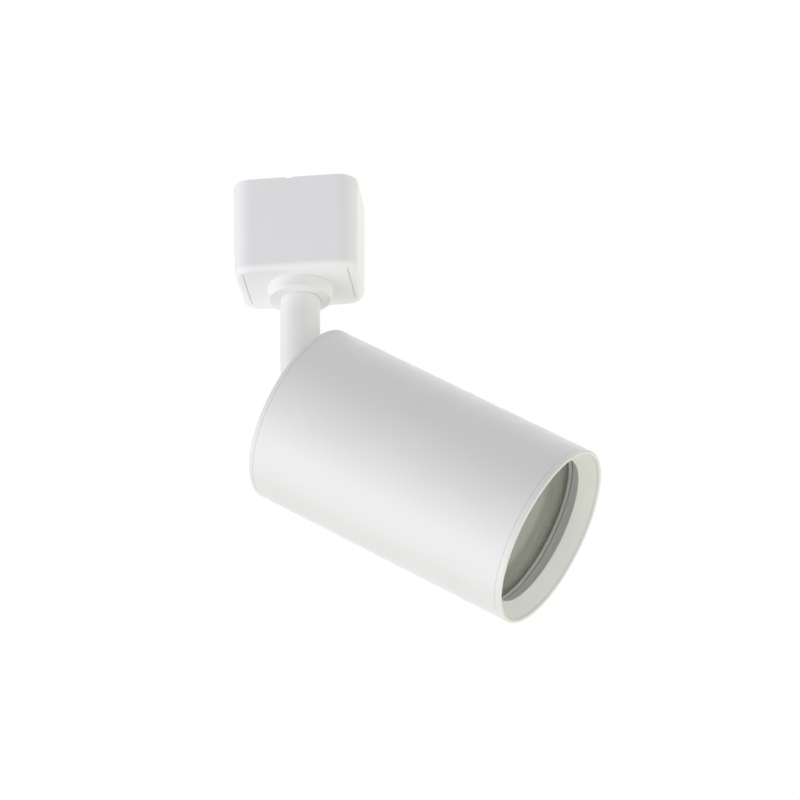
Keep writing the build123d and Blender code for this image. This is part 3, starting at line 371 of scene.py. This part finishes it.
def pale_silicone():
    """Natural silicone rubber with a dusty bloom."""
    finish = Finish("pale_silicone")
    dust = finish.ramp(finish.noise(0.0005, detail=4), 0.5, 0.8)
    finish.colour(dust, (0.72, 0.73, 0.70), (0.78, 0.78, 0.76))
    finish.rough(finish.noise(0.002, detail=3), 0.6, 0.78)
    finish.bump(finish.noise(0.0003, detail=3), 0.00001)
    return finish.material


def lead_insulation():
    """Extruded insulation: each lead is black, white or green, picked by its random number."""
    finish = Finish("lead_insulation")
    pick = finish.node("NewGeometry").outputs["Random Per Island"]
    dark_or_white = finish.mix(finish.ramp(pick, 0.329, 0.331), (0.03, 0.03, 0.032), (0.72, 0.71, 0.69))
    hue = finish.mix(finish.ramp(pick, 0.66, 0.662), dark_or_white, (0.03, 0.22, 0.07))
    shade = finish.ramp(finish.noise(0.002, detail=3), 0.3, 0.7, 0.0, 0.12)
    finish.colour(shade, hue, (0.25, 0.25, 0.25))
    finish.rough(finish.noise(0.001, detail=3), 0.35, 0.5)
    finish.bump(finish.noise(0.0005, detail=2), 0.00001)
    return finish.material


def lens_glass():
    """Tempered glass with a faint green cast and a light frosting."""
    finish = Finish("lens_glass")
    finish.rough(finish.noise(0.01, detail=4), 0.12, 0.16)
    finish.bump(finish.noise(0.012, detail=1), 0.000004)
    finish.fixed(Base_Color=(0.98, 1.0, 0.95, 1), Transmission_Weight=0.91, IOR=1.5)
    return finish.material


def spun_reflector():
    """Reflector with a satin white lining, darker deep in the reflector as painted shade, and the rings of
    the spinning.
    """
    finish = Finish("spun_reflector")
    rings = finish.noise(0.0006, detail=3)
    lining = finish.mix(rings, (0.95, 0.95, 0.92), (0.97, 0.97, 0.94))
    depth = finish.node("VectorMath", operation="DOT_PRODUCT")
    finish.feed(depth.inputs[0], finish.place)
    depth.inputs[1].default_value = HEAD_AIM
    # painted shade: the lining's colour turns dark grey deep in the reflector, between the two depths along
    # the head's aim
    deep_painted_shade = finish.ramp(depth.outputs["Value"], PAINTED_SHADE_START_DEPTH, PAINTED_SHADE_FULL_DEPTH)
    finish.colour(deep_painted_shade, lining, (0.2, 0.2, 0.17))
    finish.rough(finish.noise(0.004, detail=3), 0.42, 0.5)
    finish.bump(rings, 0.000004)
    finish.fixed(Metallic=0.2)
    return finish.material


def cast_aluminium():
    """Die cast aluminium: flow marks and a dull, slightly pitted skin."""
    finish = Finish("cast_aluminium")
    flow = finish.noise(0.008, detail=5, rough=0.6)
    finish.colour(flow, (0.42, 0.42, 0.43), (0.60, 0.60, 0.61))
    finish.rough(flow, 0.42, 0.6)
    finish.bump(finish.noise(0.0006, detail=4), 0.00003)
    finish.fixed(Metallic=1.0)
    return finish.material


def soft_pad():
    """Thermal pad: soft filled silicone with a speckle of filler."""
    finish = Finish("soft_pad")
    speckle = finish.cells(0.0004).outputs["Distance"]
    finish.colour(finish.ramp(speckle, 0.1, 0.5), (0.48, 0.54, 0.62), (0.56, 0.61, 0.68))
    finish.rough(finish.noise(0.001, detail=3), 0.7, 0.85)
    finish.bump(finish.noise(0.0006, detail=3), 0.00002)
    return finish.material


def white_ceramic():
    """White alumina board of the LED."""
    finish = Finish("white_ceramic")
    finish.colour(finish.noise(0.0008, detail=3), (0.80, 0.80, 0.78), (0.88, 0.88, 0.86))
    finish.rough(finish.noise(0.0005, detail=3), 0.35, 0.5)
    finish.bump(finish.noise(0.0002, detail=2), 0.000004)
    return finish.material


def phosphor_gel():
    """Yellow phosphor in clear gel."""
    finish = Finish("phosphor_gel")
    grains = finish.ramp(finish.cells(0.0002).outputs["Distance"], 0.0, 0.6)
    finish.colour(grains, (0.86, 0.60, 0.08), (0.93, 0.74, 0.18))
    finish.rough(finish.noise(0.001, detail=2), 0.2, 0.3)
    finish.bump(finish.noise(0.0008, detail=1), 0.000015)
    finish.fixed(Subsurface_Weight=0.3, Subsurface_Radius=(0.001, 0.0007, 0.0002))
    return finish.material


def solder_mask():
    """Green solder mask over copper tracks, which show as lighter, raised lines."""
    finish = Finish("solder_mask")
    border = finish.cells(0.0035, "DISTANCE_TO_EDGE").outputs["Distance"]
    track = finish.ramp(border, 0.12, 0.09)
    finish.colour(track, (0.012, 0.11, 0.045), (0.03, 0.19, 0.07))
    finish.rough(finish.noise(0.003, detail=3), 0.22, 0.34)
    finish.bump(track, 0.00004)
    return finish.material


def winding_tape():
    """Yellow polyester tape wound round the transformer."""
    finish = Finish("winding_tape")
    turns = finish.noise(0.0012, detail=3, place=finish.stretched((0.2, 0.2, 1)))
    finish.colour(turns, (0.66, 0.48, 0.05), (0.80, 0.62, 0.12))
    finish.rough(finish.noise(0.002, detail=3), 0.18, 0.34)
    finish.bump(turns, 0.00004)
    return finish.material


def shrunk_sleeve():
    """Dark heat-shrunk sleeve of a capacitor, slightly wrinkled."""
    finish = Finish("shrunk_sleeve")
    finish.colour(finish.noise(0.002, detail=4), (0.02, 0.024, 0.04), (0.035, 0.04, 0.065))
    finish.rough(finish.noise(0.001, detail=4), 0.2, 0.36)
    finish.bump(finish.noise(0.0015, detail=2), 0.00003)
    return finish.material


def finish_nodes():
    """Gives every CAD node the finish of its material slot, except the barrel, rear cap and front bezel,
    which get a darker copy of the white powder coat as painted shade.
    """
    # painted shade: the head's copy of the white powder coat is 7 % darker than the same coat elsewhere
    head_white_painted_shade = powder_white("powder_white_head_painted_shade", 0.0012, shade=0.93)
    own = {"barrel": head_white_painted_shade, "rear_cap": head_white_painted_shade, "front_bezel": head_white_painted_shade}
    made = {
        "white_plastic": moulded_white(),
        "white_metal": powder_white("powder_white", 0.0012),
        "cast_knuckle": powder_white("powder_white_casting", 0.002),
        "dark_plastic": moulded_dark(),
        "zinc_steel": zinc_plate(),
        "spring_steel": drawn_steel(),
        "contact_brass": rolled_brass(),
        "nylon": natural_nylon(),
        "silicone": pale_silicone(),
        "lead_insulation": lead_insulation(),
        "clear_glass": lens_glass(),
        "reflector_aluminium": spun_reflector(),
        "sink_aluminium": cast_aluminium(),
        "thermal_silicone": soft_pad(),
        "led_ceramic": white_ceramic(),
        "phosphor": phosphor_gel(),
        "circuit_board": solder_mask(),
        "transformer_tape": winding_tape(),
        "capacitor_sleeve": shrunk_sleeve(),
    }
    for part in frame["record"]["subparts"]:
        piece = nodes[part["node"]]
        for holder in piece.material_slots:
            holder.material = own.get(part["node"], made[part["material_slot"]])


# ---------------------------------------------------------------- the scene
add_camera()
add_sky()
add_floor()
finish_nodes()
